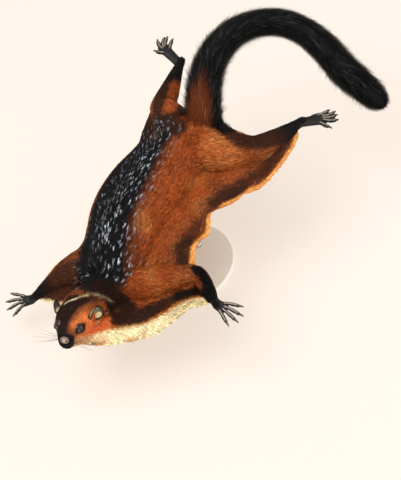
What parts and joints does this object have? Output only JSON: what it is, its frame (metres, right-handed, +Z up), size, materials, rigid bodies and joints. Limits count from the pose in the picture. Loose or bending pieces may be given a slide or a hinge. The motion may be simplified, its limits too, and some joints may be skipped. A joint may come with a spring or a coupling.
{
  "type": "spotted giant flying squirrel",
  "caption": "Life-size still model of a spotted giant flying squirrel gliding with limbs, membranes and bushy tail spread, held level by a flat base and short rods.",
  "frame": {"origin": "centre of the stand's underside, on the surface that it rests on", "axes": "+Z up; the animal heads along -Y, with its left side towards +X"},
  "size_m": [0.3467, 0.5465, 0.2576],
  "materials": {
    "fur": "short russet fur, blackish and pale-flecked on the back, cream below",
    "brush": "long glossy black tail hair",
    "ear_skin": "thin, short-haired pale ear skin",
    "eye": "wet, dark brown to black",
    "nose_skin": "bare, pinkish grey, fine-grained",
    "paw": "black, sparsely haired skin and horn-brown claws",
    "stand_base": "smooth off-white lacquer",
    "stand_rod": "satin steel"
  },
  "bodies": {
    "root": {"head": "fur", "neck": "fur", "torso": "fur", "patagium_left": "fur", "patagium_right": "fur", "neck_web_left": "fur", "neck_web_right": "fur", "foreleg_left": "fur", "foreleg_right": "fur", "hindleg_left": "fur", "hindleg_right": "fur", "tail_1": "brush", "tail_2": "brush", "tail_3": "brush", "tail_4": "brush", "ear_left": "ear_skin", "ear_right": "ear_skin", "eye_left": "eye", "eye_right": "eye", "nose": "nose_skin", "forepaw_left": "paw", "forepaw_right": "paw", "hindfoot_left": "paw", "hindfoot_right": "paw", "stand_base": "stand_base", "stand_rod_front": "stand_rod", "stand_rod_rear": "stand_rod"}
  },
  "joints": []
}
